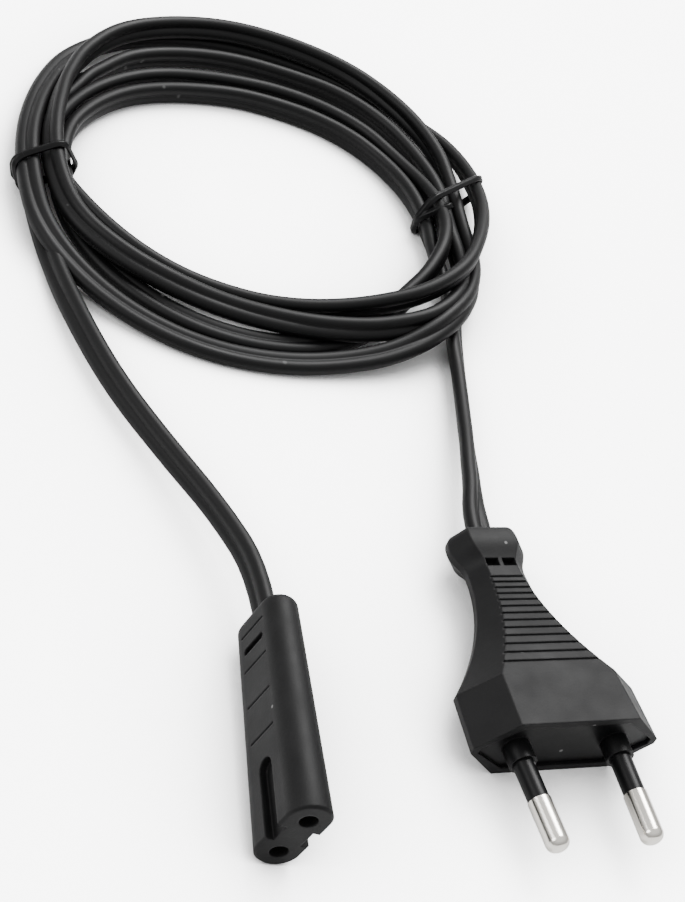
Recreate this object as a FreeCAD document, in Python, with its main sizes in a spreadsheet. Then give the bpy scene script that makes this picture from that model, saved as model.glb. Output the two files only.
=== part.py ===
import FreeCAD, Part
import math
import os

import Sketcher

# Figure-eight mains lead, in millimetres, +Z up. The connector stands on edge with its long axis on Y and
# its mouth towards -Y. The origin lies on the floor under its middle.

SIZES = {
    # Connector
    "connector_length": 42.0,
    "hole_spacing": 8.6,
    "mouth_lobe": 3.8,
    "rear_lobe": 3.2,
    "rear_spacing": 6.8,
    "connector_lean": 76.8,
    "mouth_rounding": 0.4,
    "rear_rounding": 1.8,
    "nose_length": 13.0,
    "waist_width": 3.6,
    "waist_thickness": 4.6,
    "socket_hole": 1.5,
    "window_at": 35.0,
    "window_length": 5.8,
    "window_width": 1.2,
    "window_depth": 1.4,
    "mark_first": 17.5,
    "mark_pitch": 6.9,
    "mark_count": 4,
    "mark_length": 6.7,
    "mark_width": 0.4,
    "mark_depth": 0.25,
    # Contacts and carrier inside the connector
    "contact_setback": 2.0,
    "pin_bore": 1.2,
    "contact_wall": 0.5,
    "bore_depth": 10.5,
    "contact_floor": 1.5,
    "crimp_length": 5.0,
    "crimp_wall": 0.8,
    "carrier_setback": 3.5,
    "carrier_length": 6.0,
    "carrier_wall": 1.0,
    "carrier_web": 2.4,
    # Plug
    "face_width": 35.0,
    "face_height": 13.7,
    "flat_width": 22.4,
    "side_edge": 1.4,
    "plug_length": 44.5,
    "grip_start": 10.5,
    "grip_taper": 0.5,
    "waist_at": 36.0,
    "neck_width": 11.4,
    "neck_height": 6.8,
    "neck_flat": 6.0,
    "flange_at": 41.2,
    "flange_width": 14.8,
    "flange_height": 8.8,
    "flange_flat": 9.2,
    "end_width": 11.0,
    "end_height": 6.4,
    "end_flat": 7.0,
    "plug_x": 49.89,
    "plug_y": 1.48,
    "plug_turn": 9.66,
    "rib_first": 13.2,
    "rib_last": 33.0,
    "rib_count": 13,
    "rib_width": 0.45,
    "rib_depth": 0.3,
    "relief_at": 36.4,
    "relief_length": 5.9,
    "relief_width": 1.6,
    "relief_depth": 1.4,
    "relief_bridge": 0.8,
    # Pins, sleeves and bridge
    "pin_spacing": 18.6,
    "pin_tip_spacing": 17.5,
    "pin_length": 19.0,
    "pin_radius": 2.0,
    "pin_rounding": 1.4,
    "stem_radius": 1.45,
    "anchor_radius": 2.3,
    "anchor_at": 2.8,
    "anchor_length": 1.0,
    "pin_inside": 12.0,
    "sleeve_length": 10.0,
    "sleeve_radius": 1.84,
    "sleeve_inside": 1.6,
    "rim_width": 1.3,
    "face_recess": 0.6,
    "bridge_depth": 5.0,
    "collar_radius": 2.4,
    "collar_length": 3.0,
    # Cord, cores and conductors
    "cord_width": 5.0,
    "cord_thickness": 2.9,
    "cord_embed_connector": 9.0,
    "cord_embed_plug": 11.5,
    "cord_exit_connector": 7.5,
    "cord_exit_plug": 1.7,
    "core_run": 3.0,
    "core_offset": 1.05,
    "core_radius": 1.0,
    "conductor_radius": 0.5,
    # Coil and ties
    "coil_x": 9.55,
    "coil_y": 139.1,
    "coil_outer_x": 52.8,
    "coil_outer_y": 57.3,
    "coil_outer_shift": 4.9,
    "coil_inner_x": 36.8,
    "coil_inner_y": 32.4,
    "coil_inner_shift": -0.6,
    "coil_low_top": 7.0,
    "coil_high_top": 9.8,
    "coil_rise_towards": -35.0,
    "coil_rounding": 1.3,
    "tie_thickness": 0.8,
    "tie_width": 1.6,
    "tie_rounding": 0.6,
    "tie_reach": 44.8,
    "tie_left_angle": 188.0,
    "tie_left_skew": 12.0,
    "tie_right_angle": 8.5,
    "tie_right_skew": 34.0,
}

# Route of the flat cord from the connector to the coil, and from the plug to the coil.
CONNECTOR_ROUTE = [
    (-5.2, 44.0, 6.3),
    (-13.2, 58.5, 4.9),
    (-20.9, 74.0, 4.0),
    (-27.2, 90.5, 3.6),
    (-33.2, 106.0, 3.5),
    (-37.5, 121.0, 3.5),
]
PLUG_ROUTE = [
    (44.6, 60.5, 6.0),
    (46.6, 75.5, 4.7),
    (48.2, 89.5, 3.8),
    (49.3, 102.5, 3.5),
    (49.9, 116.0, 3.5),
]
RUN_SHARE = 0.45

# Shares of a stretch at which a section is drawn, how fast the grip's height falls, and how ribs spread.
REAR_SHARES = (0.0, 0.4, 0.75, 0.95)
GRIP_SHARES = (0.0, 0.12, 0.25, 0.4, 0.55, 0.7, 0.85, 1.0)
FLANGE_SHARES = (0.0, 0.25, 0.5, 0.75, 1.0)
END_SHARES = (0.0, 0.4, 0.75, 1.0)
GRIP_DROP = 1.3
RIB_SPREAD = 0.25

doc = FreeCAD.newDocument("figure_eight_lead")
sheet = doc.addObject("Spreadsheet::Sheet", "Sizes")
for row, (alias, number) in enumerate(SIZES.items(), start=1):
    sheet.set("A%d" % row, alias)
    sheet.set("B%d" % row, str(number))
    sheet.setAlias("B%d" % row, alias)
doc.recompute()


def size(alias):
    """A driving size, read from the sheet."""
    return float(sheet.get(alias))


def vector(x, y, z):
    return FreeCAD.Vector(x, y, z)


def placed(x, y, z, rotation=None):
    return FreeCAD.Placement(vector(x, y, z), rotation or FreeCAD.Rotation())


def bind(thing, **expressions):
    """Ties properties of one object to cells of the sheet."""
    for name, expression in expressions.items():
        thing.setExpression(name, expression)
    return thing


def origin_plane(body, role):
    return next(plane for plane in body.Origin.OriginFeatures if plane.Role == role)


def sketch_on(body, name, role, offset="0"):
    """An empty sketch on one of the body's own planes, moved along the plane's normal."""
    sketch = body.newObject("Sketcher::SketchObject", name)
    sketch.AttachmentSupport = [(origin_plane(body, role), "")]
    sketch.MapMode = "FlatFace"
    sketch.setExpression("AttachmentOffset.Base.z", offset)
    return sketch


def value_of(expression):
    return float(sheet.evalExpression(expression))


def outline(sketch, points):
    """A closed polygon whose corners are tied to pairs of expressions."""
    corners = [vector(value_of(across), value_of(along), 0) for across, along in points]
    count = len(corners)
    for i in range(count):
        sketch.addGeometry(Part.LineSegment(corners[i], corners[(i + 1) % count]), False)
    for i in range(count):
        sketch.addConstraint(Sketcher.Constraint("Coincident", i, 2, (i + 1) % count, 1))
    for i, (across, along) in enumerate(points):
        for kind, expression in (("DistanceX", across), ("DistanceY", along)):
            at = sketch.addConstraint(Sketcher.Constraint(kind, -1, 1, i, 1, value_of(expression)))
            sketch.setExpression("Constraints[%d]" % at, expression)
    return sketch


def stadium(sketch, half, radius):
    """A flat-sided outline with two round ends, centred on the sketch's origin."""
    reach = value_of(half)
    bend = value_of(radius)
    normal = vector(0, 0, 1)
    quarter = math.pi / 2
    right = Part.Circle(vector(reach, 0, 0), normal, bend)
    left = Part.Circle(vector(-reach, 0, 0), normal, bend)
    sketch.addGeometry(Part.ArcOfCircle(right, -quarter, quarter), False)
    sketch.addGeometry(Part.LineSegment(vector(reach, bend, 0), vector(-reach, bend, 0)), False)
    sketch.addGeometry(Part.ArcOfCircle(left, quarter, 3 * quarter), False)
    sketch.addGeometry(Part.LineSegment(vector(-reach, -bend, 0), vector(reach, -bend, 0)), False)
    for first in range(4):
        sketch.addConstraint(Sketcher.Constraint("Tangent", first, 2, (first + 1) % 4, 1))
    sketch.addConstraint(Sketcher.Constraint("Equal", 0, 2))
    sketch.addConstraint(Sketcher.Constraint("PointOnObject", 0, 3, -1))
    sketch.addConstraint(Sketcher.Constraint("PointOnObject", 2, 3, -1))
    for arc, centre, expression in ((0, reach, half), (2, -reach, "-(" + half + ")")):
        at = sketch.addConstraint(Sketcher.Constraint("DistanceX", -1, 1, arc, 3, centre))
        sketch.setExpression("Constraints[%d]" % at, expression)
    at = sketch.addConstraint(Sketcher.Constraint("Radius", 0, bend))
    sketch.setExpression("Constraints[%d]" % at, radius)
    return sketch


def loft(body, name, sketches, ruled):
    feature = body.newObject("PartDesign::AdditiveLoft", name)
    feature.Profile = sketches[0]
    feature.Sections = sketches[1:]
    feature.Ruled = ruled
    doc.recompute()
    return feature


def rounded(body, name, base, radius, chosen):
    """Rounds the edges of a feature that a test picks by their box."""
    edges = ["Edge%d" % (i + 1) for i, edge in enumerate(base.Shape.Edges) if chosen(edge.BoundBox)]
    feature = body.newObject("PartDesign::Fillet", name)
    feature.Base = (base, edges)
    feature.setExpression("Radius", radius)
    doc.recompute()
    return feature


def turned(label, points, frame, rounding=None, chosen=None):
    """A turned piece: pairs of radius and distance along its own Y axis, revolved once."""
    body = doc.addObject("PartDesign::Body", label)
    profile = outline(sketch_on(body, label + "_profile", "XY_Plane"), points)
    feature = body.newObject("PartDesign::Revolution", label + "_turning")
    feature.Profile = profile
    feature.ReferenceAxis = (profile, ["V_Axis"])
    feature.Angle = 360.0
    doc.recompute()
    if rounding:
        rounded(body, label + "_rounding", feature, rounding, chosen)
    body.Placement = frame
    return body


def block(name, length, depth, height, frame, x, y, z):
    """A box whose sizes are expressions, with one corner at x, y, z of a frame."""
    solid = bind(doc.addObject("Part::Box", name), Length=length, Width=depth, Height=height)
    solid.Placement = frame.multiply(placed(x, y, z))
    return solid


def rod(name, radius, length, frame, x, y, z, along=(0, 1, 0)):
    """A cylinder whose sizes are expressions, from x, y, z of a frame towards a direction."""
    solid = bind(doc.addObject("Part::Cylinder", name), Radius=radius, Height=length)
    turn = FreeCAD.Rotation(vector(0, 0, 1), vector(*along))
    solid.Placement = frame.multiply(placed(x, y, z, turn))
    return solid


def fused(name, pieces):
    solid = doc.addObject("Part::MultiFuse", name)
    solid.Shapes = pieces
    return solid


def cut(name, base, tool):
    solid = doc.addObject("Part::Cut", name)
    solid.Base = base
    solid.Tool = tool
    return solid


def cut_in_turn(name, base, tools):
    """Cuts one solid by several that touch each other, one after another."""
    for i, tool in enumerate(tools[:-1], start=1):
        base = cut("%s_step_%d" % (name, i), base, tool)
    return cut(name, base, tools[-1])


def route_wire(points):
    """Straight runs joined by tangent arcs, each as large as its two shorter runs allow."""
    edges = []
    radii = []
    start = points[0]
    for before, corner, after in zip(points, points[1:], points[2:]):
        back = (before - corner).normalize()
        ahead = (after - corner).normalize()
        half = (math.pi - back.getAngle(ahead)) / 2
        reach = RUN_SHARE * min((before - corner).Length, (after - corner).Length)
        radii.append(reach / math.tan(half))
        middle = (back + ahead).normalize() * (radii[-1] / math.cos(half) - radii[-1]) + corner
        edges.append(Part.LineSegment(start, corner + back * reach).toShape())
        edges.append(Part.Arc(corner + back * reach, middle, corner + ahead * reach).toShape())
        start = corner + ahead * reach
    edges.append(Part.LineSegment(start, points[-1]).toShape())
    return Part.Wire(edges), radii


def round_sweep(label, points, radius):
    """A round wire along a route."""
    path, _ = route_wire(points)
    ring = Part.Wire(Part.makeCircle(radius, points[0], points[1] - points[0]))
    piece = doc.addObject("Part::Feature", label)
    piece.Shape = path.makePipeShell([ring], True, False)
    return piece


def flat_section(centre, across, up, width, thickness):
    """The cord's section: two round edges and two flat sides, across and up being unit vectors."""
    bend = thickness / 2
    reach = across * (width / 2 - bend)
    lift = up * bend
    right = centre + reach
    left = centre - reach
    edges = [
        Part.LineSegment(left + lift, right + lift),
        Part.Arc(right + lift, right + across * bend, right - lift),
        Part.LineSegment(right - lift, left - lift),
        Part.Arc(left - lift, left - across * bend, left + lift),
    ]
    return Part.Wire([edge.toShape() for edge in edges])


def flat_sweep(name, points, across):
    """The flat cord along a route, its section kept upright as the route turns."""
    path, radii = route_wire(points)
    heading = (points[1] - points[0]).normalize()
    up = heading.cross(across).normalize()
    side = up.cross(heading).normalize()
    width = size("cord_width")
    thickness = size("cord_thickness")
    section = flat_section(points[0], side, up, width, thickness)
    sweep = Part.BRepOffsetAPI.MakePipeShell(path)
    sweep.setBiNormalMode(vector(0, 0, 1))
    sweep.add(section, False, False)
    sweep.build()
    sweep.makeSolid()
    piece = doc.addObject("Part::Feature", name)
    piece.Shape = sweep.shape()
    area = Part.Face(section).Area
    print(name, "radii", [round(radius, 1) for radius in radii], "length", round(path.Length, 1))
    print(name, "volume", round(piece.Shape.Volume, 1), "section times length", round(area * path.Length, 1))
    return piece


def named(piece, label):
    piece.Label = label
    parts.append(piece)
    return piece


parts = []

# The connector's frame: X across the two holes, Y from the mouth to the cord, Z through the thickness.
lean = math.radians(size("connector_lean"))
centre_height = size("mouth_lobe") + size("hole_spacing") / 2 * math.sin(lean)
connector = placed(0, 0, centre_height, FreeCAD.Rotation(vector(0, 1, 0), -size("connector_lean")))
mouth = -size("connector_length") / 2
rear = size("connector_length") / 2
across_holes = connector.Rotation.multVec(vector(1, 0, 0))

# Connector shell: a flat bar with round edges, a little slimmer towards the cord.
shell = doc.addObject("PartDesign::Body", "connector_shell")
mouth_place = "(-Sizes.connector_length / 2)"
rear_place = "(Sizes.connector_length / 2)"


def bar_section(name, along, half, radius, inset):
    """The connector's outline at a place on its axis, drawn in all round by an inset."""
    sketch = sketch_on(shell, name, "XZ_Plane", "-(" + along + ")")
    return stadium(sketch, half, "(" + radius + " - " + inset + ")")


mouth_half = "Sizes.hole_spacing / 2"
nose_place = mouth_place + " + Sizes.mouth_rounding"
mouth_sections = [
    bar_section("mouth_outline", mouth_place, mouth_half, "Sizes.mouth_lobe", "Sizes.mouth_rounding"),
    bar_section("nose_outline", nose_place, mouth_half, "Sizes.mouth_lobe", "0"),
]
loft(shell, "mouth_edge", mouth_sections, True)
rear_sections = []
for i, share in enumerate(REAR_SHARES):
    along = "%s - Sizes.rear_rounding * %.4f" % (rear_place, 1 - share / REAR_SHARES[-1])
    inset_here = "Sizes.rear_rounding * %.4f" % (1 - math.sqrt(1 - share ** 2))
    name = "rear_outline_%d" % i
    rear_sections.append(bar_section(name, along, "Sizes.rear_spacing / 2", "Sizes.rear_lobe", inset_here))
loft(shell, "bar", [mouth_sections[1], rear_sections[0]], True)
loft(shell, "rear_edge", rear_sections, False)
shell.Placement = connector


def side_height(distance):
    """Half the connector's thickness at a distance from its mouth."""
    share = distance / size("connector_length")
    return size("mouth_lobe") + (size("rear_lobe") - size("mouth_lobe")) * share


# The nose is a figure eight: a groove along the waist of each flat side, with a round end.
connector_cuts = []
groove_depth = size("mouth_lobe")
waist_half = size("waist_thickness") / 2
for side, low in (("upper", waist_half), ("lower", -waist_half - groove_depth)):
    connector_cuts.append(
        block(
            "waist_" + side,
            "Sizes.waist_width",
            "Sizes.nose_length",
            "Sizes.mouth_lobe",
            connector,
            -size("waist_width") / 2,
            mouth - size("waist_width") / 2,
            low,
        )
    )
    connector_cuts.append(
        rod(
            "waist_end_" + side,
            "Sizes.waist_width / 2",
            "Sizes.mouth_lobe",
            connector,
            0,
            mouth + size("nose_length") - size("waist_width") / 2,
            low,
            (0, 0, 1),
        )
    )

# A slot through the wall shows where the cord is held, and short lines mark the grip.
window_low = side_height(size("window_at")) - size("window_depth")
connector_cuts.append(
    block(
        "window",
        "Sizes.window_length - Sizes.window_width",
        "Sizes.window_width",
        "2 * Sizes.window_depth",
        connector,
        -(size("window_length") - size("window_width")) / 2,
        mouth + size("window_at") - size("window_width") / 2,
        window_low,
    )
)
for side in (-1, 1):
    connector_cuts.append(
        rod(
            "window_end_" + ("low" if side < 0 else "high"),
            "Sizes.window_width / 2",
            "2 * Sizes.window_depth",
            connector,
            side * (size("window_length") - size("window_width")) / 2,
            mouth + size("window_at"),
            window_low,
            (0, 0, 1),
        )
    )
for i in range(round(size("mark_count"))):
    distance = size("mark_first") + i * size("mark_pitch")
    connector_cuts.append(
        block(
            "mark_%d" % (i + 1),
            "Sizes.mark_length",
            "Sizes.mark_width",
            "4 * Sizes.mark_depth",
            connector,
            -size("mark_length") / 2,
            mouth + distance - size("mark_width") / 2,
            side_height(distance) - size("mark_depth"),
        )
    )

# Contacts: a tube for the appliance's pin, a closed floor and a crimp for the conductor.
contact_length = size("bore_depth") + size("contact_floor") + size("crimp_length")
contact_front = mouth + size("contact_setback")
contact_rear = contact_front + contact_length
tube_outer = "(Sizes.pin_bore + Sizes.contact_wall)"
crimp_outer = "(Sizes.conductor_radius + Sizes.crimp_wall)"
floor_end = "(Sizes.bore_depth + Sizes.contact_floor)"
crimp_end = "(Sizes.bore_depth + Sizes.contact_floor + Sizes.crimp_length)"
CONTACT_PROFILE = [
    ("Sizes.pin_bore", "0"),
    (tube_outer, "0"),
    (tube_outer, "Sizes.bore_depth"),
    (crimp_outer, floor_end),
    (crimp_outer, crimp_end),
    ("Sizes.conductor_radius", crimp_end),
    ("Sizes.conductor_radius", floor_end),
    ("0", floor_end),
    ("0", "Sizes.bore_depth"),
    ("Sizes.pin_bore", "Sizes.bore_depth"),
]
contacts = []
contact_spaces = []
connector_coverings = []
cord_start = rear - size("cord_embed_connector")
core_offset = size("core_offset")
core_run = size("core_run")
for name, side in (("lower", -1), ("upper", 1)):
    x = side * size("hole_spacing") / 2
    frame = connector.multiply(placed(x, contact_front, 0))
    contacts.append(named(turned("contact_" + name, CONTACT_PROFILE, frame), "contact_" + name))
    bore_length = "Sizes.contact_setback + Sizes.bore_depth"
    contact_spaces.append(rod("bore_" + name, "Sizes.pin_bore", bore_length, connector, x, mouth, 0))
    crimp_at = contact_rear - size("crimp_length")
    crimp = rod("crimp_space_" + name, crimp_outer, "Sizes.crimp_length", connector, x, crimp_at, 0)
    contact_spaces.append(crimp)
    hole = rod("hole_" + name, "Sizes.socket_hole", "Sizes.contact_setback", connector, x, mouth, 0)
    connector_cuts.append(hole)
    local = [
        (side * core_offset, cord_start),
        (side * core_offset, cord_start - core_run),
        (x, contact_rear + core_run),
        (x, contact_rear),
        (x, contact_rear - size("crimp_length")),
    ]
    route = [connector.multVec(vector(a, b, 0)) for a, b in local]
    conductor = round_sweep("connector_conductor_" + name, [*route[:3], route[4]], size("conductor_radius"))
    named(conductor, "connector_conductor_" + name)
    covering = round_sweep("connector_covering_" + name, route[:4], size("core_radius"))
    connector_coverings.append(covering)
    named(cut("connector_core_" + name, covering, conductor), "connector_core_" + name)

# Carrier: two rings and a web that hold the contacts apart inside the moulding.
carrier_front = mouth + size("carrier_setback")
ring_radius = "Sizes.pin_bore + Sizes.contact_wall + Sizes.carrier_wall"
carrier_pieces = [
    block(
        "carrier_web",
        "Sizes.hole_spacing",
        "Sizes.carrier_length",
        "Sizes.carrier_web",
        connector,
        -size("hole_spacing") / 2,
        carrier_front,
        -size("carrier_web") / 2,
    )
]
for name, side in (("lower", -1), ("upper", 1)):
    x = side * size("hole_spacing") / 2
    carrier_pieces.append(
        rod("carrier_ring_" + name, ring_radius, "Sizes.carrier_length", connector, x, carrier_front, 0)
    )
carrier_holes = fused("carrier_holes", [*contacts, *contact_spaces])
carrier = cut("contact_carrier", fused("carrier_blank", carrier_pieces), carrier_holes)
named(carrier, "contact_carrier")

# The plug's frame: X across the pins, Y from the face to the cord, Z up, at the middle of the face.
plug = placed(
    size("plug_x"),
    size("plug_y"),
    size("face_height") / 2,
    FreeCAD.Rotation(vector(0, 0, 1), size("plug_turn")),
)


def half_of(alias):
    return "(Sizes.%s / 2)" % alias


def blend(near, far, share):
    """An expression that goes from one size to another by a share between 0 and 1."""
    return "(%s + (%s - %s) * %.4f)" % (near, far, near, share)


def section(body, name, along, width, flat, height):
    """An eight-sided section: flat top and bottom, sloping sides and a narrow edge between them."""
    edge = "min(Sizes.side_edge / 2; (%s) / 3)" % height
    points = [
        (width, "-" + edge),
        (width, edge),
        (flat, height),
        ("-" + flat, height),
        ("-" + width, edge),
        ("-" + width, "-" + edge),
        ("-" + flat, "-" + height),
        (flat, "-" + height),
    ]
    return outline(sketch_on(body, name, "XZ_Plane", "-(" + along + ")"), points)


# Plug shell: a straight block at the face, then a grip that sweeps in to a neck and out to a round flange.
face = (half_of("face_width"), half_of("flat_width"), half_of("face_height"))
shoulder = tuple("(%s - Sizes.grip_taper)" % part for part in face)
neck = (half_of("neck_width"), half_of("neck_flat"), half_of("neck_height"))
flange = (half_of("flange_width"), half_of("flange_flat"), half_of("flange_height"))
end = (half_of("end_width"), half_of("end_flat"), half_of("end_height"))
plug_shell = doc.addObject("PartDesign::Body", "plug_shell")
block_sections = [
    section(plug_shell, "face_section", "0", *face),
    section(plug_shell, "shoulder_section", "Sizes.grip_start", *shoulder),
]
loft(plug_shell, "face_block", block_sections, True)
grip_sections = []
for i, share in enumerate(GRIP_SHARES):
    along = blend("Sizes.grip_start", "Sizes.waist_at", share)
    slim = 1 - (1 - share) ** 2
    drop = 1 - (1 - share) ** GRIP_DROP
    shares = (slim, slim, drop)
    sizes = tuple(blend(*pair) for pair in zip(shoulder, neck, shares))
    grip_sections.append(section(plug_shell, "grip_section_%d" % i, along, *sizes))
loft(plug_shell, "grip", grip_sections, False)
flange_sections = []
for i, share in enumerate(FLANGE_SHARES):
    along = blend("Sizes.waist_at", "Sizes.flange_at", share)
    swell = (1 - math.cos(math.pi * share)) / 2
    sizes = tuple(blend(near, far, swell) for near, far in zip(neck, flange))
    flange_sections.append(section(plug_shell, "flange_section_%d" % i, along, *sizes))
loft(plug_shell, "flange", flange_sections, False)
end_sections = []
for i, share in enumerate(END_SHARES):
    along = blend("Sizes.flange_at", "Sizes.plug_length", share)
    fall = 1 - math.sqrt(1 - share ** 2)
    sizes = tuple(blend(near, far, fall) for near, far in zip(flange, end))
    end_sections.append(section(plug_shell, "end_section_%d" % i, along, *sizes))
loft(plug_shell, "cord_end", end_sections, False)
plug_shell.Placement = plug


def grip_height(distance):
    """Half the plug's height at a distance behind its face."""
    share = (distance - size("grip_start")) / (size("waist_at") - size("grip_start"))
    share = min(max(share, 0.0), 1.0)
    top = size("face_height") / 2 - size("grip_taper")
    return top + (size("neck_height") / 2 - top) * (1 - (1 - share) ** GRIP_DROP)


# Ribs across the top and bottom of the grip, closer together towards the cord.
plug_cuts = []
rib_count = round(size("rib_count"))
for i in range(rib_count):
    share = i / (rib_count - 1)
    spread = (1 + RIB_SPREAD) * share - RIB_SPREAD * share ** 2
    distance = size("rib_first") + (size("rib_last") - size("rib_first")) * spread
    bottom = grip_height(distance) - size("rib_depth")
    for side, low in (("top", bottom), ("bottom", -bottom - 4 * size("rib_depth"))):
        plug_cuts.append(
            block(
                "rib_%s_%d" % (side, i + 1),
                "Sizes.flat_width",
                "Sizes.rib_width",
                "4 * Sizes.rib_depth",
                plug,
                -size("flat_width") / 2,
                distance - size("rib_width") / 2,
                low,
            )
        )

# Relief slots in the neck, above and below the cord, each in two halves with a bridge between.
relief_low = size("neck_height") / 2 - size("relief_depth")
relief_half = "(Sizes.relief_length - Sizes.relief_bridge) / 2"
for side, low in (("top", relief_low), ("bottom", -relief_low - 2 * size("relief_depth"))):
    for half, x in (("left", -size("relief_length") / 2), ("right", size("relief_bridge") / 2)):
        plug_cuts.append(
            block(
                "relief_%s_%s" % (side, half),
                relief_half,
                "Sizes.relief_width",
                "2 * Sizes.relief_depth",
                plug,
                x,
                size("relief_at") - size("relief_width") / 2,
                low,
            )
        )


def inset(half):
    return "(%s - Sizes.rim_width)" % half


# Pin bridge: a plate set a little into the face, with a collar round the root of each pin.
plate_size = (inset(face[0]), inset(face[1]), inset(face[2]))
recess = doc.addObject("PartDesign::Body", "recess")
recess_sketch = section(recess, "recess_outline", "0", *plate_size)
recess_pad = recess.newObject("PartDesign::Pad", "recess_pad")
recess_pad.Profile = recess_sketch
recess_pad.Reversed = True
bind(recess_pad, Length="Sizes.face_recess")
recess.Placement = plug
plate = doc.addObject("PartDesign::Body", "bridge_plate")
plate_sketch = section(plate, "plate_outline", "Sizes.face_recess", *plate_size)
plate_pad = plate.newObject("PartDesign::Pad", "plate_pad")
plate_pad.Profile = plate_sketch
plate_pad.Reversed = True
bind(plate_pad, Length="Sizes.bridge_depth - Sizes.face_recess")
plate.Placement = plug

pin_lean = math.degrees(math.asin((size("pin_spacing") - size("pin_tip_spacing")) / 2 / size("pin_length")))
PIN_PROFILE = [
    ("Sizes.conductor_radius", "-Sizes.pin_inside"),
    ("Sizes.stem_radius", "-Sizes.pin_inside"),
    ("Sizes.stem_radius", "-(Sizes.anchor_at + Sizes.anchor_length)"),
    ("Sizes.anchor_radius", "-(Sizes.anchor_at + Sizes.anchor_length)"),
    ("Sizes.anchor_radius", "-Sizes.anchor_at"),
    ("Sizes.stem_radius", "-Sizes.anchor_at"),
    ("Sizes.stem_radius", "Sizes.sleeve_length"),
    ("Sizes.pin_radius", "Sizes.sleeve_length"),
    ("Sizes.pin_radius", "Sizes.pin_length"),
    ("0", "Sizes.pin_length"),
    ("0", "Sizes.crimp_length - Sizes.pin_inside"),
    ("Sizes.conductor_radius", "Sizes.crimp_length - Sizes.pin_inside"),
]
SLEEVE_PROFILE = [
    ("Sizes.stem_radius", "-Sizes.sleeve_inside"),
    ("Sizes.sleeve_radius", "-Sizes.sleeve_inside"),
    ("Sizes.sleeve_radius", "Sizes.sleeve_length"),
    ("Sizes.stem_radius", "Sizes.sleeve_length"),
]
pins = []
sleeves = []
collars = []
plug_coverings = []
crimp_spaces = []
cord_start_plug = size("plug_length") - size("cord_embed_plug")


def at_tip(box):
    return box.YMin > size("pin_length") - 0.01


for name, side in (("left", -1), ("right", 1)):
    turn = FreeCAD.Rotation(vector(0, 0, 1), 180 - side * pin_lean)
    root = plug.multiply(placed(side * size("pin_spacing") / 2, 0, 0, turn))
    pin = turned("pin_" + name, PIN_PROFILE, root, "Sizes.pin_rounding", at_tip)
    pins.append(named(pin, "pin_" + name))
    sleeves.append(named(turned("pin_sleeve_" + name, SLEEVE_PROFILE, root), "pin_sleeve_" + name))
    collar_length = "Sizes.collar_length + Sizes.face_recess + Sizes.collar_radius / 2"
    collar_start = -size("face_recess") - size("collar_radius") / 2
    collars.append(rod("collar_" + name, "Sizes.collar_radius", collar_length, root, 0, collar_start, 0))
    crimp_rear = root.multVec(vector(0, -size("pin_inside"), 0))
    crimp_floor = root.multVec(vector(0, size("crimp_length") - size("pin_inside"), 0))
    lead_in = root.multVec(vector(0, -size("pin_inside") - core_run, 0))
    near_cord = plug.multVec(vector(side * core_offset, cord_start_plug - core_run, 0))
    at_cord = plug.multVec(vector(side * core_offset, cord_start_plug, 0))
    bend = [at_cord, near_cord, lead_in]
    conductor = round_sweep("plug_conductor_" + name, [*bend, crimp_floor], size("conductor_radius"))
    named(conductor, "plug_conductor_" + name)
    covering = round_sweep("plug_covering_" + name, [*bend, crimp_rear], size("core_radius"))
    plug_coverings.append(covering)
    named(cut("plug_core_" + name, covering, conductor), "plug_core_" + name)
    space = rod("crimp_" + name, "Sizes.stem_radius", "Sizes.crimp_length", root, 0, -size("pin_inside"), 0)
    crimp_spaces.append(space)
bridge_blank = fused("bridge_blank", [plate, *collars])
pin_bridge = named(cut("pin_bridge", bridge_blank, fused("bridge_holes", [*pins, *sleeves])), "pin_bridge")


def rounded_edges(name, base, radius, chosen):
    """Rounds the edges of a solid that a test picks."""
    doc.recompute()
    solid = doc.addObject("Part::Fillet", name)
    solid.Base = base
    solid.Edges = [(i, radius, radius) for i, edge in enumerate(base.Shape.Edges, start=1) if chosen(edge)]
    return solid


def oval(name, long_half, short_half, shift, turn):
    """An upright prism with an oval outline, as tall as the coil's highest side."""
    curve = doc.addObject("Part::Ellipse", name + "_outline")
    bind(curve, MajorRadius=long_half, MinorRadius=short_half)
    spin = FreeCAD.Rotation(vector(0, 0, 1), turn)
    curve.Placement = placed(size("coil_x"), size("coil_y") + shift, size("tie_thickness"), spin)
    prism = doc.addObject("Part::Extrusion", name)
    bind(prism, LengthFwd="Sizes.coil_high_top - Sizes.tie_thickness")
    prism.Base = curve
    prism.DirMode = "Custom"
    prism.Dir = vector(0, 0, 1)
    prism.Solid = True
    return prism


def wall_distance(half_x, half_y, shift, start, heading):
    """How far an oval's wall lies from a point, which is given from the coil's centre, along a heading."""
    a = (heading.x / half_x) ** 2 + (heading.y / half_y) ** 2
    b = 2 * (start.x * heading.x / half_x ** 2 + (start.y - shift) * heading.y / half_y ** 2)
    c = (start.x / half_x) ** 2 + ((start.y - shift) / half_y) ** 2 - 1
    return (-b + math.sqrt(b ** 2 - 4 * a * c)) / (2 * a)


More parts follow.
